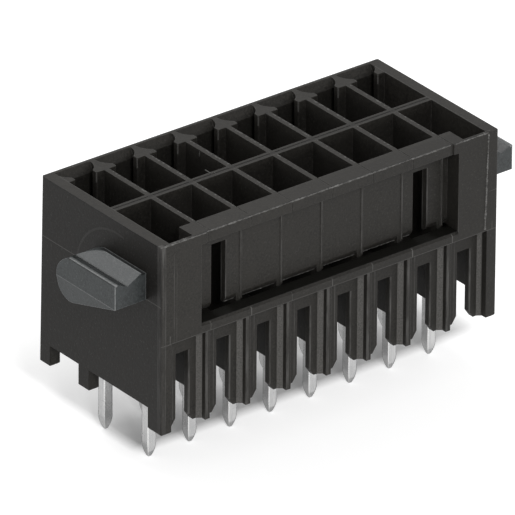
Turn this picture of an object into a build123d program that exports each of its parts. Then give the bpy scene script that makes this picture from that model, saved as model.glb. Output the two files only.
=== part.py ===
from build123d import *
import os

# Double-row circuit board header with open contact pockets on top, a recessed keyed
# front wall, comb legs below it and a moulded locking latch on each end.
# Millimetres. +Z is up, the pin tips stand on Z = 0, the length runs along X and the
# recessed front faces -Y.

# Contact grid
poles_per_row = 8
pitch = 3.5
row_spacing = 4.93
front_row_setback = 4.43  # front face to the middle of the front row

# Contact pins
pin_width = 0.7
pin_reach = 4.18  # pin tips below the feet
pin_tip_length = 1.35
pin_ogive_width = 0.56  # width part way down the rounded point
pin_ogive_height = 0.54  # tip to where that width is measured
pin_point_width = 0.26
pin_point_length = 0.1
blade_drop = 4.23  # contact ends below the rim
blade_taper_length = 0.5
blade_taper = 0.17
pin_fit = 0.01  # gap all round a pin in the floor

# Housing envelope
end_overhang = 0.6  # outermost pitch line to the end face
depth_at_rim = 13.44
depth_at_foot = 13.78  # the back wall leans out downwards
body_height = 12.84  # underside of the body to the rim
foot_height = 1.66  # feet below the underside of the body
corner_radius = 0.12

# Walls and floor
end_wall = 0.88
divider_wall = 0.4
middle_wall = 0.6
middle_wall_setback = 6.6  # front face to the middle of the wall
middle_groove_width = 0.08
middle_groove_depth = 0.04
back_wall_top = 0.24  # flat left on the back wall at the rim
lead_in_depth = 0.46  # slope at the back of each pocket
lead_in_height = 0.62
floor_thickness = 1.4
floor_clear = 2.57  # underside of the floor above the underside of the body
skirt_wall = 0.9  # back wall below the floor

# Front wall: a thin outer skin at the ends, a recessed panel between
front_band = 1.81  # solid band at the rim, front to back
front_skin = 0.3  # wall in front of the two corner pockets
corner_pocket_length = 2.0  # deep part of the corner pocket, along X
recess_inset = 3.44  # end face to the side of the recess
recess_depth = 1.28
lip_height = 0.79
lip_setback = 0.08  # the lip stands back from the skin at its two ends
lip_groove_width = 0.2  # deeper line across the lip at each of those steps
lip_groove_depth = 0.1
panel_drop = 6.8  # rim to the lower edge of the panel
panel_undercut_height = 0.75
panel_undercut_depth = 0.32
panel_slot_width = 1.23
panel_slot_drop = 1.88
panel_slot_bays = (2, 7)
witness_offset = 0.17  # divider line to the fine rib on the panel beside it
witness_rib_width = 0.2
witness_rib_height = 0.05
witness_groove_width = 0.08  # joint lines over the lip, in line with those ribs
witness_groove_depth = 0.03

# Bar and comb legs along the lower front
bar_drop = 6.92  # rim to the top of the bar
bar_height = 0.7
bar_edge = 0.18  # slope along the top front edge of the bar
apron_drop = 8.97  # rim to the tops of the comb slots
comb_setback = 0.74
comb_thickness = 0.46
comb_slot_width = 1.1
leg_rib_width = 0.4
leg_rib_setback = 0.14
leg_buttress_half_width = 0.53  # sloped shoulder on both sides of the rib
leg_buttress_setback = 0.51
leg_chamfer_length = 0.38
leg_chamfer_height = 0.55
channel_depth = 1.52  # open space behind the comb, down through the floor

# Feet on the end walls, given by their front and back edges from the front face
corner_foot_depth = 1.5
middle_foot_front = 8.16
middle_foot_depth = 1.16
back_foot_front = 12.59
foot_chamfer = 0.1

# Keying ribs at the back ends of the dividers
key_setback = 11.55  # front face to the flat front of the ribs
key_half_width = 0.85
key_wing = 0.45  # front to back at the tips
key_corner = 0.06
key_root_half_width = 0.2
key_neck_half_width = 0.38
key_neck_setback = 12.5

# Locking latches
latch_reach = 2.66
latch_front = 1.71  # front face to the front of the latch
latch_back = 8.3
latch_drop = 2.45  # rim to the crest of the latch
latch_groove_width = 0.36
latch_groove_depth = 0.12
latch_crest = 0.43  # end face to the crest
latch_valley = 1.62
latch_valley_drop = 0.66  # this and the next heights are measured from the crest
latch_lip = 2.42
latch_lip_drop = 0.28
latch_fold_drop = 2.17  # the outer face turns in below this fold
latch_tail_drop = 4.35
latch_tail_taper = 0.44
latch_tail_radius = 1.1
latch_crown_length = 3.59  # flat top, front to back
latch_shoulder_drop = 2.0  # from the crest to the widest point of the rounded back
ellipse_handle = 0.5523  # share of the radius that makes a curve follow a quarter ellipse
tenon_front = 3.3
tenon_length = 3.0
tenon_drop = 3.25
tenon_height = 1.3
tenon_fit = 0.02
tenon_bite = 0.3  # tenon inside the latch

# Allowances of the construction, of no effect on the finished shape
overrun = 1.0  # cutters run this far past the faces they open
overlap = 0.1  # added blocks run this far into the body

# Worked out from the sizes above
length = poles_per_row * pitch + 2 * end_overhang
left = -length / 2
front = -depth_at_foot / 2
foot_z = pin_reach
body_z = foot_z + foot_height
rim_z = body_z + body_height
floor_under_z = body_z + floor_clear
floor_top_z = floor_under_z + floor_thickness
bar_top_z = rim_z - bar_drop
bar_low_z = bar_top_z - bar_height
apron_z = rim_z - apron_drop
panel_z = rim_z - panel_drop
lip_z = rim_z - lip_height
recess_half = length / 2 - recess_inset
inner_half = length / 2 - end_wall
comb_back = comb_setback + comb_thickness
lip_half = (poles_per_row / 2 - 1) * pitch + divider_wall / 2
channel_back = comb_back + channel_depth
pocket_back = depth_at_rim - back_wall_top - lead_in_depth
divider_lines = [(i - poles_per_row / 2) * pitch for i in range(1, poles_per_row)]
rib_lines = [(i - poles_per_row / 2) * pitch for i in range(poles_per_row + 1)]
row_lines = [front + front_row_setback, front + front_row_setback + row_spacing]


def block(x_range, y_range, z_range):
    """Rectangular solid between limits; y is given as setback from the front face."""
    size = [high - low for low, high in (x_range, y_range, z_range)]
    middle = [(low + high) / 2 for low, high in (x_range, y_range, z_range)]
    return Pos(middle[0], middle[1] + front, middle[2]) * Box(*size)


def bay(number):
    """Limits along X of the pocket in one bay, counted from 1 at the left."""
    low = (number - 1 - poles_per_row / 2) * pitch + divider_wall / 2
    high = low + pitch - divider_wall
    return (max(low, -inner_half), min(high, inner_half))


def bay_middle(number):
    return (number - 0.5 - poles_per_row / 2) * pitch


def envelope():
    """Outer block with its back wall leaning out, cut away below to leave the feet."""
    side = Polyline(
        (front, rim_z),
        (front, foot_z),
        (front + depth_at_foot, foot_z),
        (front + depth_at_rim, rim_z),
        close=True,
    )
    body = extrude(Plane.YZ * make_face(side), length / 2, both=True)
    upright = body.edges().filter_by(lambda edge: abs(edge.tangent_at(0.5).Z) > 0.9)
    body = fillet(upright, corner_radius)
    under = (foot_z - overrun, body_z)
    gaps = [block((-inner_half, inner_half), (-overrun, depth_at_foot + overrun), under)]
    middle_foot_back = middle_foot_front + middle_foot_depth
    for span in ((corner_foot_depth, middle_foot_front), (middle_foot_back, back_foot_front)):
        gaps.append(block((left - overrun, -left + overrun), span, under))
    body = body - gaps
    return chamfer(body.edges().group_by(Axis.Z)[0], foot_chamfer)


def pockets():
    """Everything that is open to the top: both rows, corner pockets and lead-in slopes."""
    front_rows = (front_band, middle_wall_setback - middle_wall / 2)
    back_rows = (middle_wall_setback + middle_wall / 2, pocket_back)
    openings = []
    for number in range(1, poles_per_row + 1):
        openings.append(block(bay(number), front_rows, (floor_top_z, rim_z + overrun)))
        openings.append(block(bay(number), back_rows, (floor_top_z, rim_z + overrun)))
        openings.append(lead_in(bay(number)))
    for sign in (-1, 1):
        corner = sorted((sign * inner_half, sign * (inner_half - corner_pocket_length)))
        openings.append(block(corner, (front_skin, front_band), (bar_top_z, rim_z + overrun)))
    return openings


def lead_in(limits):
    """Slope that opens the back of one pocket towards the rim."""
    x_low, x_high = limits
    wedge = Polyline(
        (front + pocket_back - lead_in_depth, rim_z - lead_in_height),
        (front + pocket_back, rim_z - lead_in_height),
        (front + pocket_back + lead_in_depth, rim_z),
        (front + pocket_back + lead_in_depth, rim_z + overrun),
        (front + pocket_back - lead_in_depth, rim_z + overrun),
        close=True,
    )
    return extrude(Plane.YZ.offset(x_low) * make_face(wedge), x_high - x_low)


def key_rib(x):
    """Arrow-headed rib where a divider meets the back wall."""
    tip_back = front + key_setback + key_wing
    root = front + pocket_back + lead_in_depth
    neck = front + key_neck_setback
    corner_back = front + key_setback + key_corner
    flat_half = key_half_width - key_corner
    flare = [
        ThreePointArc(
            (x + side * key_root_half_width, root),
            (x + side * key_neck_half_width, neck),
            (x + side * key_half_width, tip_back),
        )
        for side in (-1, 1)
    ]
    head = Polyline(
        (x - key_half_width, tip_back),
        (x - key_half_width, corner_back),
        (x - flat_half, front + key_setback),
        (x + flat_half, front + key_setback),
        (x + key_half_width, corner_back),
        (x + key_half_width, tip_back),
    )
    root_line = Line((x - key_root_half_width, root), (x + key_root_half_width, root))
    outline = make_face(flare + [head, root_line])
    return extrude(Pos(0, 0, floor_top_z) * outline, rim_z - floor_top_z)


def panel_undercut(limits):
    """Rounded-back lower edge of the recessed panel in one bay."""
    x_low, x_high = limits
    top = (front + recess_depth, panel_z + panel_undercut_height)
    bottom = (front + recess_depth + panel_undercut_depth, panel_z)
    curve = RadiusArc(top, bottom, -panel_undercut_height)
    open_side = front + recess_depth - overrun
    floor_line = Line(bottom, (open_side, panel_z))
    front_line = Line(floor_line @ 1, (open_side, panel_z + panel_undercut_height))
    top_line = Line(front_line @ 1, top)
    wedge = make_face([curve, floor_line, front_line, top_line])
    return extrude(Plane.YZ.offset(x_low) * wedge, x_high - x_low)


def bar_slope():
    """Wedge that takes the top front edge off the bar."""
    wedge = Polyline(
        (front - overrun, bar_top_z - bar_edge),
        (front, bar_top_z - bar_edge),
        (front + bar_edge, bar_top_z),
        (front + bar_edge, bar_top_z + overlap),
        (front - overrun, bar_top_z + overlap),
        close=True,
    )
    return extrude(Plane.YZ.offset(-recess_half) * make_face(wedge), 2 * recess_half)


def front_openings():
    """Recess under the lip, the slots in its panel and the channel behind the comb."""
    recess_x = (-recess_half, recess_half)
    openings = [block(recess_x, (-overrun, recess_depth), (bar_top_z, lip_z))]
    lip_x = (-lip_half, lip_half)
    lip_high = (lip_z - overlap, rim_z + overrun)
    openings.append(block(lip_x, (-overrun, lip_setback), lip_high))
    for sign in (-1, 1):
        line = sorted((sign * lip_half, sign * (lip_half - lip_groove_width)))
        openings.append(block(line, (-overrun, lip_groove_depth), lip_high))
    openings.append(bar_slope())
    for number in range(1, poles_per_row + 1):
        low, high = bay(number)
        shown = (max(low, -recess_half), min(high, recess_half))
        openings.append(panel_undercut(shown))
        openings.append(block((low, high), (comb_back, channel_back), (body_z - overrun, panel_z)))
        cell = (channel_back, depth_at_foot - skirt_wall)
        openings.append(block((low, high), cell, (body_z - overrun, floor_under_z)))
    for number in panel_slot_bays:
        middle = bay_middle(number)
        slot = (middle - panel_slot_width / 2, middle + panel_slot_width / 2)
        through = (0, front_band + overlap)
        openings.append(block(slot, through, (panel_z - overlap, rim_z - panel_slot_drop)))
    comb_zone = (-inner_half, inner_half)
    openings.append(block(comb_zone, (-overrun, comb_back), (body_z - overrun, bar_low_z)))
    return openings


def witness_ribs():
    """Fine ribs down the panel, one beside every divider line."""
    ribs = []
    for x in divider_lines:
        middle = x + witness_offset
        sides = (middle - witness_rib_width / 2, middle + witness_rib_width / 2)
        depth = (recess_depth - witness_rib_height, recess_depth + overlap)
        ribs.append(block(sides, depth, (panel_z, lip_z)))
    return ribs


def witness_grooves():
    """Fine joint lines over the lip, in line with the ribs, and along the middle wall."""
    grooves = []
    above = (rim_z - witness_groove_depth, rim_z + overrun)
    for x in divider_lines:
        middle = x + witness_offset
        sides = (middle - witness_groove_width / 2, middle + witness_groove_width / 2)
        face = (-overrun, lip_setback + witness_groove_depth)
        grooves.append(block(sides, face, (lip_z - overlap, rim_z + overrun)))
        grooves.append(block(sides, (-overrun, front_band), above))
    across = (
        middle_wall_setback - middle_groove_width / 2,
        middle_wall_setback + middle_groove_width / 2,
    )
    for number in range(1, poles_per_row + 1):
        grooves.append(block(bay(number), across, (rim_z - middle_groove_depth, rim_z + overrun)))
    return grooves


def comb():
    """Apron under the bar and a leg below every rib line, cut off at the end walls."""
    inside = (-inner_half - overlap, inner_half + overlap)
    room = block(inside, (0, comb_back), (foot_z, bar_low_z))
    solids = [block((-inner_half, inner_half), (comb_setback, comb_back), (apron_z, bar_low_z))]
    for x in rib_lines:
        solids.append(leg(x) & room)
        solids.append(leg_rib(x) & room)
    return solids


def leg(x):
    """One leg of the comb, chamfered on both sides at the foot."""
    half = (pitch - comb_slot_width) / 2
    chamfer_z = foot_z + leg_chamfer_height
    outline = Polyline(
        (x - half, bar_low_z),
        (x - half, chamfer_z),
        (x - half + leg_chamfer_length, foot_z),
        (x + half - leg_chamfer_length, foot_z),
        (x + half, chamfer_z),
        (x + half, bar_low_z),
        close=True,
    )
    return extrude(Plane.XZ.offset(-front - comb_setback) * make_face(outline), -comb_thickness)


def leg_rib(x):
    """Rib down the front of a leg, with a sloped buttress on each side."""
    half = leg_rib_width / 2
    outline = Polyline(
        (x - leg_buttress_half_width, front + comb_setback),
        (x - half, front + leg_buttress_setback),
        (x - half, front + leg_rib_setback),
        (x + half, front + leg_rib_setback),
        (x + half, front + leg_buttress_setback),
        (x + leg_buttress_half_width, front + comb_setback),
        (x + leg_buttress_half_width, front + comb_back),
        (x - leg_buttress_half_width, front + comb_back),
        close=True,
    )
    return extrude(Pos(0, 0, foot_z) * make_face(outline), bar_low_z - foot_z)


def housing():
    body = envelope()
    body = body - pockets()
    body = body - front_openings()
    body = body + [key_rib(x) & key_zone() for x in rib_lines]
    body = body + witness_ribs()
    body = body - witness_grooves()
    body = body + comb()
    holes = []
    for x, y in contact_places():
        hole = pin_width + 2 * pin_fit
        depth = floor_thickness + overrun
        holes.append(Pos(x, y, (floor_under_z + floor_top_z) / 2) * Box(hole, hole, depth))
    body = body - holes
    for sign in (-1, 1):
        body = body - tenon(sign, tenon_fit, overrun)
    return body


def key_zone():
    """Room for the key ribs: between the end walls, clear of the slope at the back."""
    inside = (-inner_half - overlap, inner_half + overlap)
    depth = (key_setback - overlap, pocket_back + lead_in_depth)
    return block(inside, depth, (floor_top_z - overlap, rim_z))


def contact_places():
    """Middle of every pin, front row first."""
    places = []
    for y in row_lines:
        for number in range(1, poles_per_row + 1):
            places.append((bay_middle(number), y))
    return places


def pin_outline():
    """Side view of a pin: rounded point below, straight shank, short taper on top."""
    half = pin_width / 2
    point = pin_point_width / 2
    top = rim_z - blade_drop
    bulge = pin_ogive_width / 2
    right_side = Line((half, pin_tip_length), (half, top - blade_taper_length))
    right_taper = Line(right_side @ 1, (half - blade_taper, top))
    across = Line(right_taper @ 1, (-half + blade_taper, top))
    left_taper = Line(across @ 1, (-half, top - blade_taper_length))
    left_side = Line(left_taper @ 1, (-half, pin_tip_length))
    left_ogive = ThreePointArc(left_side @ 1, (-bulge, pin_ogive_height), (-point, pin_point_length))
    nose = ThreePointArc(left_ogive @ 1, (0, 0), (point, pin_point_length))
    right_ogive = ThreePointArc(nose @ 1, (bulge, pin_ogive_height), right_side @ 0)
    return make_face([right_side, right_taper, across, left_taper, left_side, left_ogive, nose, right_ogive])


def contact_pin():
    """Square pin: the same side view crossed with itself at right angles."""
    seen_from_front = extrude(Plane.XZ * pin_outline(), pin_width, both=True)
    seen_from_side = extrude(Plane.YZ * pin_outline(), pin_width, both=True)
    return seen_from_front & seen_from_side


def tenon(sign, fit=0, extra=0):
    """Block that carries a latch through the end wall, or with a fit the hole for it."""
    reach = sorted((sign * (length / 2 + tenon_bite), sign * (inner_half - extra)))
    across = (tenon_front - fit, tenon_front + tenon_length + fit)
    upright = (rim_z - tenon_drop - tenon_height - fit, rim_z - tenon_drop + fit)
    return block(reach, across, upright)


def latch(sign):
    """Locking latch: grooved hook section crossed with its rounded side view."""
    wall = length / 2
    top = rim_z - latch_drop
    tail_z = top - latch_tail_drop
    fold_z = top - latch_fold_drop
    section = [
        (wall, top - latch_groove_depth),
        (wall + latch_groove_width, top - latch_groove_depth),
        (wall + latch_crest, top),
        (wall + latch_valley, top - latch_valley_drop),
        (wall + latch_lip, top - latch_lip_drop),
        (wall + latch_reach, top - latch_lip_drop),
        (wall + latch_reach, fold_z),
        (wall + latch_reach - latch_tail_taper, tail_z),
        (wall, tail_z),
    ]
    hook = make_face(Polyline([(sign * x, z) for x, z in section], close=True))
    hook = extrude(Plane.XZ.offset(-front - latch_front) * hook, -(latch_back - latch_front))
    near = front + latch_front
    crown = near + latch_crown_length
    back = front + latch_back
    widest_z = top - latch_shoulder_drop
    top_line = Line((near, top), (crown, top))
    shoulder = Bezier(
        (crown, top),
        (crown + ellipse_handle * (back - crown), top),
        (back, widest_z + ellipse_handle * latch_shoulder_drop),
        (back, widest_z),
    )
    rest = Polyline((back, widest_z), (back, tail_z), (near, fold_z), (near, top))
    side = make_face([top_line, shoulder, rest])
    side = fillet(side.vertices().sort_by(Axis.Y)[0], latch_tail_radius)
    side = Plane.YZ.offset(sign * (wall - overrun)) * side
    side = extrude(side, sign * (latch_reach + 2 * overrun))
    return (hook & side) + tenon(sign)


os.makedirs("parts", exist_ok=True)
export_step(housing(), "parts/housing.step")
export_step(latch(-1), "parts/latch_left.step")
export_step(latch(1), "parts/latch_right.step")
pin = contact_pin()
for index, (x, y) in enumerate(contact_places()):
    row = "front" if index < poles_per_row else "back"
    node = f"contact_{row}_{index % poles_per_row + 1}"
    export_step(Pos(x, y, 0) * pin, f"parts/{node}.step")
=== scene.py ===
import math
import random

import bpy
from mathutils import Matrix, Vector, noise


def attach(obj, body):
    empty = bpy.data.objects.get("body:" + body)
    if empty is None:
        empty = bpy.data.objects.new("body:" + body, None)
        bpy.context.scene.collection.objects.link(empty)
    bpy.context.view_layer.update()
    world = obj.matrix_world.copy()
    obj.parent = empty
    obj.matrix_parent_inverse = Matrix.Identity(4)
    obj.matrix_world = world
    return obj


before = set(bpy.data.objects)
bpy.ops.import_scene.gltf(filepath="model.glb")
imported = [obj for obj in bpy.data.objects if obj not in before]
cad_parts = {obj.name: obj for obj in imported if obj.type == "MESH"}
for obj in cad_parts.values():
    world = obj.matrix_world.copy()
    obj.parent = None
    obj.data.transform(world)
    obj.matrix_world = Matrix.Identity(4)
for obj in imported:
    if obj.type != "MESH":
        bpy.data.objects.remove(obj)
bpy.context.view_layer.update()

# Housing: one injection moulding in black polyamide, with keyed pockets, a slotted recess in front
# and a comb of legs that stands on the board. The mould was spark eroded, so every wall carries a
# fine dull grain. The arrises are a little lighter, partly from rubbing and partly a painted
# highlight.
mm = 0.001
black = (0.0262, 0.0243, 0.0212)
rubbed_and_highlit_black = (0.095, 0.091, 0.085)


def bare_finish(name):
    """A new finish, its tree and its shader."""
    finish = bpy.data.materials.new(name)
    finish.use_nodes = True
    return finish, finish.node_tree, finish.node_tree.nodes["Principled BSDF"]


def shader_node(tree, kind, settings=None, **sockets):
    """Adds a shader node. A socket is named by its label, or by its place as i0, i1 and so on."""
    made = tree.nodes.new(kind)
    for name, value in (settings or {}).items():
        setattr(made, name, value)
    for name, value in sockets.items():
        by_place = name[0] == "i" and name[1:].isdigit()
        socket = made.inputs[int(name[1:]) if by_place else name.replace("_", " ")]
        if isinstance(value, bpy.types.NodeSocket):
            tree.links.new(value, socket)
        else:
            socket.default_value = value
    return made


def surface_place(tree):
    """The place on the piece, in metres."""
    return shader_node(tree, "ShaderNodeTexCoord").outputs["Object"]


def lumps(tree, place, per_mm, detail=2.0, rough=0.5):
    """Noise whose lumps repeat so many times in a millimetre."""
    made = shader_node(
        tree, "ShaderNodeTexNoise",
        Vector=place, Scale=per_mm / mm, Detail=detail, Roughness=rough,
    )
    return made.outputs["Fac"]


def graded(tree, value, span, to=(0.0, 1.0)):
    """Carries a span of the value over to another span, and holds it beyond both ends."""
    made = shader_node(
        tree, "ShaderNodeMapRange",
        Value=value, From_Min=span[0], From_Max=span[1], To_Min=to[0], To_Max=to[1],
    )
    return made.outputs["Result"]


def worked_out(tree, operation, *values):
    """The result of one Math node."""
    places = {f"i{place}": value for place, value in enumerate(values)}
    return shader_node(tree, "ShaderNodeMath", {"operation": operation}, **places).outputs[0]


def times(tree, first, second):
    return worked_out(tree, "MULTIPLY", first, second)


def blend_colours(tree, share, first, second):
    """From the first colour to the second; each is a node's output or red, green and blue."""
    first, second = (
        colour if isinstance(colour, bpy.types.NodeSocket) else (*colour, 1.0)
        for colour in (first, second)
    )
    made = shader_node(tree, "ShaderNodeMix", {"data_type": "RGBA"}, i0=share, i6=first, i7=second)
    return made.outputs[2]


def rounded_normal(tree, radius, samples=4):
    """The way the surface faces, as if each arris were rounded by so many millimetres."""
    made = shader_node(tree, "ShaderNodeBevel", {"samples": samples}, Radius=radius * mm)
    return made.outputs["Normal"]


def facing(tree, first, second):
    """1 where two directions agree, 0 where they are square to each other."""
    dot = {"operation": "DOT_PRODUCT"}
    return shader_node(tree, "ShaderNodeVectorMath", dot, i0=first, i1=second).outputs["Value"]


def arris_share(tree, radius):
    """1 on an arris and 0 on a flat face, from how far the rounded surface turns away there."""
    flat = shader_node(tree, "ShaderNodeNewGeometry").outputs["Normal"]
    return graded(tree, facing(tree, flat, rounded_normal(tree, radius)), (0.995, 0.86))


def moulded_plastic(name, colour, rubbed_and_highlit, roughness, gloss, grain_height, arris):
    """Moulded plastic: spark-eroded grain, faint flow clouds, and arrises lighter from rubbing and
    a painted highlight.
    """
    plastic, tree, shader = bare_finish(name)
    place = surface_place(tree)
    fine_grain = lumps(tree, place, per_mm=5.5, detail=3.0, rough=0.7)
    coarse_grain = lumps(tree, place, per_mm=3.2)
    flow_clouds = lumps(tree, place, per_mm=0.7, detail=3.0)
    darker = tuple(0.66 * channel for channel in colour)
    lighter = tuple(1.40 * channel for channel in colour)
    paler = tuple(1.22 * channel for channel in colour)
    speckled = blend_colours(tree, graded(tree, fine_grain, (0.38, 0.62)), darker, lighter)
    cloud_share = graded(tree, flow_clouds, (0.42, 0.62), to=(0.0, 0.5))
    clouded = blend_colours(tree, cloud_share, speckled, paler)
    patchy = graded(tree, coarse_grain, (0.3, 0.65), to=(0.15, 1.0))
    # Painted highlight: the arrises take the lighter colour for light caught on their rounded
    # edges, as well as for rubbing
    worn_and_highlit = blend_colours(tree, times(tree, arris_share(tree, arris), patchy), clouded, rubbed_and_highlit)
    dull = graded(tree, fine_grain, (0.3, 0.7), to=(roughness - 0.06, roughness + 0.08))
    low_bumps = shader_node(
        tree, "ShaderNodeBump", Strength=0.35, Distance=grain_height * mm,
        Height=coarse_grain, Normal=rounded_normal(tree, arris),
    )
    fine_bumps = shader_node(
        tree, "ShaderNodeBump", Strength=0.5, Distance=grain_height * mm,
        Height=fine_grain, Normal=low_bumps.outputs[0],
    )
    tree.links.new(worn_and_highlit, shader.inputs["Base Color"])
    tree.links.new(dull, shader.inputs["Roughness"])
    tree.links.new(fine_bumps.outputs[0], shader.inputs["Normal"])
    shader.inputs["Specular IOR Level"].default_value = gloss
    return plastic


def dress(piece, finish):
    piece.data.materials.clear()
    piece.data.materials.append(finish)


black_plastic = moulded_plastic(
    "black_moulded_plastic", black, rubbed_and_highlit_black,
    roughness=0.50, gloss=0.25, grain_height=0.022, arris=0.065,
)
dress(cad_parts["housing"], black_plastic)

# Marks on the housing, in millimetres. The mould left drag lines where it drew off the ribs, eroded
# flanks, and joint lines where its halves met. Handling rubbed and tore the arrises of the rim.
# Some marks are painted shade and painted highlights.
pitch = 3.5  # from one divider to the next
rim_z = 18.68
front_y = -6.89
half_length = 14.6
end_face = (14.55, 14.7)  # out from the middle
row = (-0.1, 13.7)  # out, between the end walls
rim_face = (-0.05, 0.05)  # drop below the rim
front_arris = (-0.05, 0.05)  # back from the front face
front_skin = (-0.05, 0.1)  # back


def header_place(tree):
    """The place on the header in millimetres: across from its middle, bay from the nearest divider
    line, out from the middle to either end, back from the front face, drop below the rim."""
    scaled = shader_node(
        tree, "ShaderNodeVectorMath", {"operation": "SCALE"}, i0=surface_place(tree), Scale=1 / mm
    )
    from_front_rim = shader_node(
        tree, "ShaderNodeVectorMath", {"operation": "MULTIPLY_ADD"},
        i0=scaled.outputs[0], i1=(1, 1, -1), i2=(0, -front_y, rim_z),
    )
    parts = shader_node(tree, "ShaderNodeSeparateXYZ", Vector=from_front_rim.outputs[0]).outputs
    return {
        "across": parts["X"],
        "bay": worked_out(tree, "WRAP", parts["X"], pitch / 2, -pitch / 2),
        "out": worked_out(tree, "ABSOLUTE", parts["X"]),
        "back": parts["Y"],
        "drop": parts["Z"],
    }


def patch(tree, place, share=1.0, **limits):
    """A share where the place lies between all the given limits, and 0 elsewhere."""
    for way, (low, high) in limits.items():
        within = worked_out(tree, "COMPARE", place[way], (low + high) / 2, (high - low) / 2)
        share = times(tree, within, share)
    return share


def strongest(tree, shares):
    found = shares[0]
    for share in shares[1:]:
        found = worked_out(tree, "MAXIMUM", found, share)
    return found


def mark_over(finish, share, colour):
    """Lays a colour over the finish where a mark is."""
    tree = finish.node_tree
    base = tree.nodes["Principled BSDF"].inputs["Base Color"]
    tree.links.new(blend_colours(tree, share, base.links[0].from_socket, colour), base)


black_tree = black_plastic.node_tree
on_black = header_place(black_tree)
black_metres = surface_place(black_tree)
drawn_up = shader_node(
    black_tree, "ShaderNodeMapping", Vector=black_metres, Scale=(1.0, 1.0, 0.12)
).outputs[0]
streaks_up = lumps(black_tree, drawn_up, per_mm=3.0, detail=3.0, rough=0.7)
streaks_up = graded(black_tree, streaks_up, (0.40, 0.60), to=(0.15, 1.0))
pitted = lumps(black_tree, black_metres, per_mm=11.0, detail=3.0, rough=0.75)
pitted = graded(black_tree, pitted, (0.40, 0.58), to=(0.5, 1.0))


def on_housing(share=1.0, **limits):
    return patch(black_tree, on_black, share, **limits)


def mark_housing(colour, marks, varied_by=None):
    """Lays a colour over the housing at the marks, as strongly as the pattern says at each spot."""
    share = strongest(black_tree, marks)
    if varied_by is not None:
        share = times(black_tree, share, varied_by)
    mark_over(black_plastic, share, colour)


# Painted shade: the ends darker in front under the rim
end_front_shade_black = (0.006, 0.0055, 0.005)
in_front = graded(black_tree, on_black["back"], (0.2, 3.2), to=(0.9, 0.25))
under_rim = graded(black_tree, on_black["drop"], (3.5, 8.5), to=(1.0, 0.0))
end_front_shade = times(black_tree, in_front, under_rim)
mark_housing(end_front_shade_black, [on_housing(out=end_face)], varied_by=end_front_shade)

# Painted shade: pockets darker inside, more so further down
pocket_shade_black = (0.008, 0.0075, 0.0065)
pocket_shade_depth = graded(black_tree, on_black["drop"], (0.05, 0.9), to=(0.0, 0.5))
mark_housing(pocket_shade_black, [on_housing(out=(-0.1, 13.69), back=(1.9, 12.9))], varied_by=pocket_shade_depth)

# Painted shade: the front darker towards its right end, and both ends darker than the front
right_shade_black = (0.013, 0.012, 0.0105)
end_shade_black = (0.010, 0.009, 0.008)
to_the_right = graded(black_tree, on_black["across"], (-6.0, 12.0), to=(0.0, 0.38))
mark_housing(right_shade_black, [on_housing(back=(-0.05, 1.4))], varied_by=to_the_right)
mark_housing(end_shade_black, [on_housing(0.75, out=end_face, drop=(0.05, 20.0))])

# Fine pale specks all over
speck_grey = (0.085, 0.082, 0.078)
specks = lumps(black_tree, black_metres, per_mm=7.0, rough=0.6)
mark_housing(speck_grey, [graded(black_tree, specks, (0.60, 0.70), to=(0.0, 0.30))])

# Eroded flanks of the comb's ribs: a pitted grain, with a painted highlight on these slanted facets
eroded_and_lit_grey = (0.150, 0.145, 0.137)
rib_flanks = [
    on_housing(0.95, bay=(-0.56, -0.19), back=(0.49, 0.76), drop=(7.66, 14.5)),
    on_housing(0.95, bay=(0.19, 0.56), back=(0.49, 0.76), drop=(7.66, 14.5)),
]
mark_housing(eroded_and_lit_grey, rib_flanks, varied_by=pitted)

# Drag lines
drag_grey = (0.150, 0.146, 0.140)
drag_lines = [
    # on the panel's fine ribs, and below them on the bar
    on_housing(0.55, bay=(0.12, 0.20), back=(1.1, 1.26), drop=(0.8, 6.7)),
    on_housing(0.9, bay=(0.13, 0.20), back=(-0.05, 0.2), drop=(6.98, 7.6)),
    # on the right edges of the two slots, in front and inside
    on_housing(0.8, across=(-8.14, -8.06), back=(1.2, 1.33), drop=(1.9, 6.8)),
    on_housing(0.7, across=(9.36, 9.44), back=(1.2, 1.33), drop=(1.9, 6.8)),
    on_housing(0.6, across=(-8.14, -8.10), back=(1.70, 1.85), drop=(2.0, 6.8)),
    on_housing(0.6, across=(9.36, 9.40), back=(1.70, 1.85), drop=(2.0, 6.8)),
    # at the right side of the recess, and along the top of the bar
    on_housing(0.6, across=(11.12, 11.18), back=front_arris, drop=(0.8, 6.9)),
    on_housing(0.35, across=(-11.2, 11.2), back=(0.10, 0.22), drop=(6.9, 6.95)),
    # on the shoulders and ribs of the comb's legs
    on_housing(0.55, bay=(0.93, 0.99), back=(0.7, 0.8), drop=(7.7, 14.0)),
    on_housing(0.75, bay=(-1.22, -1.08), back=(0.7, 0.82), drop=(9.0, 14.0)),
    on_housing(0.55, bay=(-0.2, 0.03), back=(0.1, 0.2), drop=(7.7, 14.5)),
    # upright beside the front left corner
    on_housing(0.5, across=(-14.46, -14.40), back=front_skin, drop=(0.3, 13.0)),
    on_housing(0.4, across=(-14.25, -14.19), back=front_skin, drop=(0.6, 13.8)),
    on_housing(0.4, across=(-13.52, -13.47), back=front_skin, drop=(0.8, 13.0)),
    on_housing(0.3, across=(-13.29, -13.24), back=front_skin, drop=(1.6, 9.0)),
]
mark_housing(drag_grey, drag_lines, varied_by=streaks_up)

# Joint lines of the mould halves: on the ends, round the right front corner, and above the comb
joint_grey = (0.100, 0.097, 0.092)
joint_lines = [
    on_housing(0.85, out=end_face, drop=(4.55, 4.61), back=(0.05, 13.7)),
    on_housing(0.7, across=(14.0, 14.7), drop=(4.55, 4.61), back=front_arris),
    on_housing(0.8, drop=(7.56, 7.64), back=(-0.05, 0.06)),
]
mark_housing(joint_grey, joint_lines, varied_by=pitted)

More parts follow.
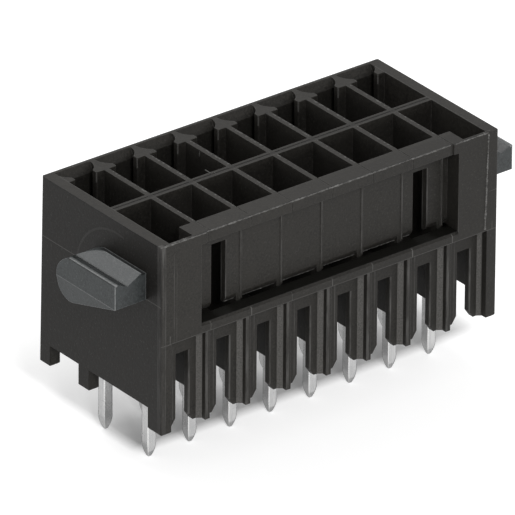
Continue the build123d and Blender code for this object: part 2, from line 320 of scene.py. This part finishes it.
# Faint ring of a mould insert round the left latch, only its part behind
ring_grey = (0.085, 0.083, 0.080)
ring_centre = (-half_length * mm, (front_y + 5.0) * mm, (rim_z - 5.5) * mm)
ring_width = (4.50 * mm, 4.66 * mm)
from_centre = shader_node(
    black_tree, "ShaderNodeVectorMath", {"operation": "DISTANCE"}, i0=black_metres, i1=ring_centre
).outputs["Value"]
ring = patch(
    black_tree, {"reach": from_centre, **on_black}, 0.30,
    reach=ring_width, out=end_face, drop=(0.5, 4.6), back=(4.2, 9.8),
)
mark_housing(ring_grey, [ring], varied_by=pitted)

# Painted shade: dark lines in hollows and under edges
hollow_shade_black = (0.004, 0.004, 0.003)
shaded_hollows = [
    # painted shadow of the flash behind the front arris and behind the lip's
    on_housing(0.85, back=(0.09, 0.16), drop=(-0.1, 0.05), out=(10.7, 13.8)),
    on_housing(0.85, back=(0.17, 0.24), drop=(-0.1, 0.05), out=(-0.1, 10.7)),
    # on the bar under the panel, below the rim of the ends, along the middle wall
    on_housing(0.8, back=(0.16, 1.45), drop=(6.88, 6.97), across=(-11.2, 11.2)),
    on_housing(0.7, out=end_face, drop=(0.04, 0.12)),
    on_housing(0.5, back=(6.52, 6.70), drop=rim_face, out=row),
]
mark_housing(hollow_shade_black, shaded_hollows)

# Rubbed and torn arrises; the front left corner also carries a painted highlight
rubbed_grey = (0.120, 0.117, 0.112)
rubbed_lines = [
    # the key ribs' front corners, the end walls, the middle wall, nicks across the back wall
    on_housing(0.9, bay=(-0.88, -0.80), back=(11.5, 11.66), drop=(0.03, 0.80)),
    on_housing(0.45, out=(13.70, 13.77), back=(0.6, 12.6), drop=rim_face),
    on_housing(0.4, back=(6.28, 6.35), out=row, drop=rim_face),
    on_housing(0.35, back=(12.95, 13.4), bay=(-1.6, -1.54), drop=rim_face),
]
mark_housing(rubbed_grey, rubbed_lines, varied_by=pitted)
divider_edges = [
    on_housing(bay=(0.04, 0.21), back=(7.1, 11.4), out=(-0.1, 12.0), drop=rim_face),
    on_housing(bay=(0.08, 0.21), back=(2.0, 6.2), out=(-0.1, 12.0), drop=rim_face),
]
tears = lumps(black_tree, black_metres, per_mm=3.6, detail=3.0, rough=0.7)
tears = graded(black_tree, tears, (0.52, 0.60), to=(0.0, 0.9))
mark_housing(rubbed_grey, divider_edges, varied_by=tears)
# Painted highlight with rubbing on the front left corner, strongest just under the rim
less_downwards = graded(black_tree, on_black["drop"], (0.0, 2.2), to=(1.0, 0.32))
front_corner_rub_and_highlight = on_housing(0.75, across=(-14.7, -14.2), back=(-0.05, 0.45))
front_corner_rub_and_highlight = times(black_tree, front_corner_rub_and_highlight, less_downwards)
mark_housing(rubbed_grey, [front_corner_rub_and_highlight], varied_by=streaks_up)

# Flash of the housing: thin rough beads of its plastic that squeezed out where the mould halves
# met, with two whiskers and torn crumbs. It is one with the moulding, on the front arris, the lip,
# the foot of the panel, the right joint and the rim, and it is paler where it was torn.
flash = moulded_plastic(
    "torn_flash", (0.075, 0.073, 0.069), (0.16, 0.157, 0.15),
    roughness=0.6, gloss=0.3, grain_height=0.010, arris=0.02,
)
torn_white = (0.23, 0.226, 0.218)
flash_tree = flash.node_tree
torn_spots = lumps(flash_tree, surface_place(flash_tree), per_mm=4.2, detail=3.0, rough=0.75)
mark_over(flash, graded(flash_tree, torn_spots, (0.42, 0.60)), torn_white)


def on_header(across, back, drop):
    """A point in millimetres, from across the middle, behind the front face and below the rim."""
    return Vector((across, front_y + back, rim_z - drop))


def into_scene(name, data):
    made = bpy.data.objects.new(name, data)
    bpy.context.scene.collection.objects.link(made)
    return made


def flash_piece(name, verts, faces):
    mesh = bpy.data.meshes.new(name)
    mesh.from_pydata(verts, [], faces)
    mesh.validate()
    mesh.materials.append(flash)
    piece = into_scene(name, mesh)
    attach(piece, "root")


def rough_bead(name, start, end, radius, seed):
    """Closed tube of uneven thickness between two points, thin at both ends."""
    step, sides, swells_per_mm = 0.09, 6, 1.9
    thinnest, swelling, end_share = 0.25, 0.85, 0.3
    dice = random.Random(seed)
    along = (end - start).normalized()
    first = along.cross(Vector((0, 0.3, 1))).normalized()
    second = along.cross(first)
    count = max(2, round((end - start).length / step))
    verts, faces = [], []
    for index in range(count + 1):
        middle = start.lerp(end, index / count)
        swell = 0.5 + 0.5 * noise.noise(middle * swells_per_mm + Vector((seed, 0, 0)))
        thick = radius * (thinnest + swelling * swell + dice.uniform(-0.20, 0.45))
        if index in (0, count):
            thick = end_share * radius
        for side in range(sides):
            turn = math.tau * side / sides
            reach = thick * dice.uniform(0.8, 1.2)
            outward = first * math.cos(turn) + second * math.sin(turn)
            verts.append((middle + outward * reach) * mm)
    for index in range(count):
        for side in range(sides):
            a, b = index * sides + side, index * sides + (side + 1) % sides
            faces.append((a, b, b + sides, a + sides))
    faces.append(tuple(reversed(range(sides))))
    faces.append(tuple(count * sides + side for side in range(sides)))
    flash_piece(name, verts, faces)


def crumbs(name, start, end, count, size, seed):
    """Small torn lumps scattered along a line, each a closed uneven octahedron."""
    stray = 0.03
    dice = random.Random(seed)
    verts, faces = [], []
    for _ in range(count):
        middle = start.lerp(end, dice.random())
        middle += Vector((dice.uniform(-stray, stray), dice.uniform(-stray, stray), 0))
        base = len(verts)
        for way in ((1, 0, 0), (0, 1, 0), (-1, 0, 0), (0, -1, 0), (0, 0, 1), (0, 0, -1)):
            verts.append((middle + Vector(way) * size * dice.uniform(0.5, 1.3)) * mm)
        top, foot = base + 4, base + 5
        for corner in range(4):
            this, following = base + corner, base + (corner + 1) % 4
            faces += [(this, following, top), (following, this, foot)]
    flash_piece(name, verts, faces)


arris_bead, panel_bead, joint_bead, whisker = 0.056, 0.030, 0.072, 0.040  # radii
bead_lines = {  # both ends as across, back and drop; radius; seed
    "front_arris_flash": ((-14.35, 0.02, 0), (-10.75, 0.02, 0), arris_bead, 3),
    "front_lip_flash": ((-10.65, 0.10, 0), (10.5, 0.10, 0), arris_bead, 5),
    "front_arris_flash_right": ((10.8, 0.02, 0), (13.72, 0.02, 0), arris_bead, 7),
    "panel_foot_flash": ((-8.1, 1.57, 6.79), (8.1, 1.57, 6.79), panel_bead, 13),
    "middle_wall_whisker": ((-5.22, 6.62, 0), (-5.22, 7.38, -0.02), whisker, 17),
    "divider_whisker": ((-3.71, 9.95, 0.08), (-3.72, 9.95, 0.50), whisker, 19),
    "right_joint_flash": ((13.74, 0, 0.05), (13.53, 0, 7.5), joint_bead, 11),
}
for name, (start, end, radius, seed) in bead_lines.items():
    rough_bead(name, on_header(*start), on_header(*end), radius, seed)

crumb_rise = 0.005
crumb_lines = [  # both ends, across and back; how many; how large
    ((-14.2, 0.10), (-12.4, 0.18), 26, 0.075),
    ((13.35, 0.16), (14.0, 0.22), 9, 0.06),
    ((-5.3, 7.02), (-4.9, 6.62), 4, 0.035),
    ((-6.45, 6.30), (-6.35, 6.36), 3, 0.05),
    ((-10.6, 0.13), (10.4, 0.13), 110, 0.045),
    ((-14.56, 0.03), (-14.4, 0.10), 8, 0.07),
]
for index, (start, end, count, size) in enumerate(crumb_lines):
    start, end = on_header(*start, -crumb_rise), on_header(*end, -crumb_rise)
    crumbs(f"rim_crumbs_{index + 1}", start, end, count, size, seed=20 + index)

# Latches: a small hook on each end wall, moulded apart in a dark blue-grey polyester and pressed
# through the wall. Satin, with pale arrises, partly scuffed and partly a painted highlight, and
# painted shade in the folds.
blue_grey = (0.047, 0.052, 0.053)
scuffed_and_highlit_blue_grey = (0.26, 0.27, 0.275)
grey_plastic = moulded_plastic(
    "grey_moulded_plastic", blue_grey, scuffed_and_highlit_blue_grey,
    roughness=0.42, gloss=0.34, grain_height=0.020, arris=0.08,
)
grey_tree = grey_plastic.node_tree
on_grey = header_place(grey_tree)
grey_metres = surface_place(grey_tree)


def on_latch(share, **limits):
    return patch(grey_tree, on_grey, share, **limits)


# Pale arrises of the latch: scuffs, and a painted highlight on the lip's top and outer arrises
scuff_and_highlight_grey = (0.330, 0.335, 0.335)
scuffed_and_lit_edges = [
    # the lip's outer arris and its top
    on_latch(0.8, out=(17.13, 17.3), drop=(2.70, 2.755)),
    on_latch(0.22, out=(17.0, 17.13), drop=(2.70, 2.755)),
    # the outer front corner on both its sides, and its tip
    on_latch(0.9, out=(17.20, 17.3), back=(1.70, 1.735), drop=(2.70, 4.7)),
    on_latch(0.9, out=(17.19, 17.3), back=(1.60, 1.712), drop=(2.70, 4.7)),
    on_latch(1.0, out=(17.05, 17.3), back=(1.6, 1.85), drop=(2.68, 2.86)),
    # the fold of the outer face
    on_latch(0.45, out=(17.24, 17.3), drop=(4.58, 4.64)),
    # beside the wall, on top and in front, and on the crest
    on_latch(0.5, out=(14.6, 14.72), drop=(2.5, 2.6)),
    on_latch(0.2, out=(14.55, 14.66), back=(1.60, 1.8)),
    on_latch(0.35, out=(15.0, 15.08), drop=(2.4, 2.5)),
]
scuffs = lumps(grey_tree, grey_metres, per_mm=7.0, detail=3.0, rough=0.75)
scuffs = graded(grey_tree, scuffs, (0.40, 0.58), to=(0.45, 1.0))
mark_over(grey_plastic, times(grey_tree, strongest(grey_tree, scuffed_and_lit_edges), scuffs), scuff_and_highlight_grey)

# Painted shade in the folds of the latch
fold_shade_black = (0.012, 0.013, 0.013)
shaded_folds = [
    # under the lip, in the groove beside the wall, in the valley before the lip
    on_latch(0.85, out=(17.24, 17.3), drop=(2.765, 2.85)),
    on_latch(0.9, out=(14.66, 15.0), drop=(2.5, 2.62)),
    on_latch(0.75, out=(16.15, 17.0), drop=(2.75, 3.2), back=(1.72, 9.0)),
]
mark_over(grey_plastic, strongest(grey_tree, shaded_folds), fold_shade_black)

pale_grey = (0.15, 0.16, 0.16)
pale_specks = lumps(grey_tree, grey_metres, per_mm=8.5, rough=0.6)
mark_over(grey_plastic, graded(grey_tree, pale_specks, (0.60, 0.68), to=(0.0, 0.4)), pale_grey)
for side in ("left", "right"):
    dress(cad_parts[f"latch_{side}"], grey_plastic)

# Contact pins: sixteen lengths of drawn square brass wire, pointed by coining, tin plated and
# pressed through the housing's floor. The plating is streaked along the wire. A painted highlight
# makes the arris that faces the front left near white, and painted shade darkens the arrises at
# both sides of it.
tin, tin_tree, tin_shader = bare_finish("bright_tin_plating")
tin_metres = surface_place(tin_tree)
along_wire = shader_node(
    tin_tree, "ShaderNodeMapping", Vector=tin_metres, Scale=(1.0, 1.0, 0.07)
).outputs[0]
wire_streaks = lumps(tin_tree, along_wire, per_mm=9.0, detail=3.0, rough=0.6)
tin_clouds = lumps(tin_tree, tin_metres, per_mm=1.6, detail=3.0)
rounded_wire = rounded_normal(tin_tree, 0.14, samples=6)

dark_streak, light_streak = (0.59, 0.59, 0.59), (0.67, 0.67, 0.667)
cloud_grey, arris_shade_grey, highlight_white = (0.52, 0.525, 0.53), (0.36, 0.36, 0.365), (1.0, 1.0, 0.99)
front_left = (-0.7071, -0.7071, 0.0)
# Painted highlight on the arris that faces the front left, and painted shade on the arrises beside
# it
turned = facing(tin_tree, rounded_wire, front_left)
highlight_arris = graded(tin_tree, turned, (0.76, 0.90))
shaded_arrises = times(
    tin_tree,
    graded(tin_tree, turned, (0.66, 0.35), to=(0.0, 0.8)),
    graded(tin_tree, turned, (-0.35, -0.66), to=(1.0, 0.0)),
)
tin_colour = blend_colours(
    tin_tree, graded(tin_tree, wire_streaks, (0.35, 0.65)), dark_streak, light_streak
)
cloud_share = graded(tin_tree, tin_clouds, (0.4, 0.62), to=(0.0, 0.45))
tin_colour = blend_colours(tin_tree, cloud_share, tin_colour, cloud_grey)
tin_colour = blend_colours(tin_tree, shaded_arrises, tin_colour, arris_shade_grey)
tin_colour = blend_colours(tin_tree, highlight_arris, tin_colour, highlight_white)
tin_roughness = graded(tin_tree, tin_clouds, (0.3, 0.7), to=(0.18, 0.32))
streak_bumps = shader_node(
    tin_tree, "ShaderNodeBump", Strength=0.4, Distance=0.004 * mm,
    Height=wire_streaks, Normal=rounded_wire,
)
tin_tree.links.new(tin_colour, tin_shader.inputs["Base Color"])
tin_tree.links.new(tin_roughness, tin_shader.inputs["Roughness"])
tin_tree.links.new(streak_bumps.outputs[0], tin_shader.inputs["Normal"])
tin_shader.inputs["Metallic"].default_value = 1.0
for line in ("front", "back"):
    for number in range(1, 9):
        dress(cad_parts[f"contact_{line}_{number}"], tin)

# Studio floor: a pale card that meets the pin tips and keeps the part's soft shadow. Seen straight,
# it is lifted towards white outside a painted shadow, an area given by place on the floor, which
# fades on all four sides.
floor_reach = 3.0  # metres
floor_mesh = bpy.data.meshes.new("studio_floor")
floor_corners = [
    (x * floor_reach, y * floor_reach, 0) for x, y in ((-1, -1), (1, -1), (1, 1), (-1, 1))
]
floor_mesh.from_pydata(floor_corners, [], [(0, 1, 2, 3)])
floor = into_scene("studio_floor", floor_mesh)
floor_paint, floor_tree, floor_shader = bare_finish("pale_floor")
floor_shader.inputs["Base Color"].default_value = (0.80, 0.80, 0.80, 1)
floor_shader.inputs["Roughness"].default_value = 0.9
floor_shader.inputs["Specular IOR Level"].default_value = 0.0
floor_mesh.materials.append(floor_paint)
on_floor = header_place(floor_tree)

# Painted shadow: the camera's lift drops over a given area behind the pin tips, so the floor stays
# dark there
clear_lift, shadow_lift = 0.62, 0.11
left_of_shadow = graded(floor_tree, on_floor["across"], (-12.9, -11.6))
right_of_shadow = graded(floor_tree, on_floor["across"], (18.0, 15.5))
front_of_shadow = graded(floor_tree, on_floor["back"], (4.9, 6.1))
back_of_shadow = graded(floor_tree, on_floor["back"], (9.0, 27.0), to=(1.0, 0.0))
shadow = times(
    floor_tree,
    times(floor_tree, left_of_shadow, right_of_shadow),
    times(floor_tree, front_of_shadow, back_of_shadow),
)
seen_lift = graded(floor_tree, shadow, (0.0, 1.0), to=(clear_lift, shadow_lift))

# Painted reflection: in the tin's reflection the floor is dim towards the back left, with painted
# shade under the part, and bright in the strip before the pins
bright_lift, dim_lift, under_share = 0.55, 0.12, 0.45
back_left = (-0.615, 0.788, 0.0)
away = facing(floor_tree, surface_place(floor_tree), back_left)
mirrored_lift = graded(floor_tree, away, (-0.02, 0.022), to=(bright_lift, dim_lift))
under_part = patch(floor_tree, on_floor, back=(3.9, 12.5), out=(-1.0, 14.0))
under_part = graded(floor_tree, under_part, (0.0, 1.0), to=(1.0, under_share))
mirrored_lift = times(floor_tree, mirrored_lift, under_part)
before_pins = patch(floor_tree, on_floor, bright_lift, back=(-3.0, 3.9), out=(-1.0, 20.0))
mirrored_lift = strongest(floor_tree, [mirrored_lift, before_pins])

rays = shader_node(floor_tree, "ShaderNodeLightPath").outputs
seen = [rays["Is Camera Ray"], rays["Is Glossy Ray"], rays["Is Transmission Ray"]]
lift = shader_node(
    floor_tree, "ShaderNodeMix", {"data_type": "FLOAT"},
    i0=rays["Is Glossy Ray"], i2=seen_lift, i3=mirrored_lift,
).outputs[0]
lift = times(floor_tree, strongest(floor_tree, seen), lift)
glow = shader_node(floor_tree, "ShaderNodeEmission", Strength=lift)
lifted = shader_node(
    floor_tree, "ShaderNodeAddShader", i0=floor_shader.outputs[0], i1=glow.outputs[0]
)
floor_tree.links.new(lifted.outputs[0], floor_tree.nodes["Material Output"].inputs["Surface"])

# Room: plain white all round. It lights the part softly from every side, shows full white to the
# camera, and stands a little below white in the gloss of the plastic and the tin.
room_light, room_in_gloss = 0.44, 0.72
room = bpy.data.worlds.new("white_room")
bpy.context.scene.world = room
room.use_nodes = True
room_tree = room.node_tree
room_rays = shader_node(room_tree, "ShaderNodeLightPath").outputs
room_level = graded(
    room_tree, room_rays["Is Glossy Ray"], (0.0, 1.0), to=(room_light, room_in_gloss)
)
room_seen = strongest(room_tree, [room_rays["Is Camera Ray"], room_rays["Is Transmission Ray"]])
room_paint = room_tree.nodes["Background"].inputs
room_paint["Color"].default_value = (1, 1, 1, 1)
room_tree.links.new(strongest(room_tree, [room_level, room_seen]), room_paint["Strength"])

# Lights: a small soft box in front on the left, which throws the shadow to the back right, and a
# larger one high behind the part, which lights its top. Both aim at the middle of the part.
part_middle = Vector((0, 0, 9 * mm))


def towards(azimuth, elevation):
    """A direction, in degrees to the right of straight in front and above the floor."""
    a, e = math.radians(azimuth), math.radians(elevation)
    return Vector((math.sin(a) * math.cos(e), -math.cos(a) * math.cos(e), math.sin(e)))


def soft_box(name, azimuth, elevation, distance, size, power):
    lamp = bpy.data.lights.new(name, "AREA")
    lamp.shape = "SQUARE"
    lamp.size = size
    lamp.energy = power
    box = into_scene(name, lamp)
    direction = towards(azimuth, elevation)
    box.location = part_middle + direction * distance
    box.rotation_euler = direction.to_track_quat("Z", "Y").to_euler()


soft_box("key_soft_box", azimuth=-24, elevation=35.0, distance=0.9, size=0.16, power=2.3)
soft_box("back_soft_box", azimuth=184, elevation=50, distance=1.0, size=0.42, power=3.4)

# Camera: a long lens at the photograph's angle, above and to the left of the front. Its place,
# focal length and picture centre were fitted to the part's corners in the photograph.
camera_azimuth, camera_elevation, camera_roll = -37.995, 27.876, 0.413  # degrees
aim = Vector((0, -0.144, 10.625))  # millimetres, as the next two lines
camera_distance = 864.68
camera_aside, camera_lowered = 0.891, 0.0967
photo_side = 515  # pixels, as the next two lines
focal_length = 12556.089
photo_centre = (257.169, 257.465)
sensor_width = 36.0
back = towards(camera_azimuth, camera_elevation)
level = towards(camera_azimuth + 90, 0)
upright = back.cross(level)
roll = math.radians(camera_roll)
right = level * math.cos(roll) + upright * math.sin(roll)
up = upright * math.cos(roll) - level * math.sin(roll)
place = aim + back * camera_distance - right * camera_aside - up * camera_lowered
camera_data = bpy.data.cameras.new("camera")
camera_data.sensor_width = sensor_width
camera_data.lens = focal_length / photo_side * sensor_width
camera_data.shift_x = (photo_side / 2 - photo_centre[0]) / photo_side
camera_data.shift_y = (photo_centre[1] - photo_side / 2) / photo_side
camera_data.clip_end = 20.0
camera = into_scene("camera", camera_data)
rows = [(right[way], up[way], back[way], place[way] * mm) for way in range(3)]
camera.matrix_world = Matrix((*rows, (0, 0, 0, 1)))
bpy.context.scene.camera = camera
bpy.context.scene.view_settings.view_transform = "Standard"
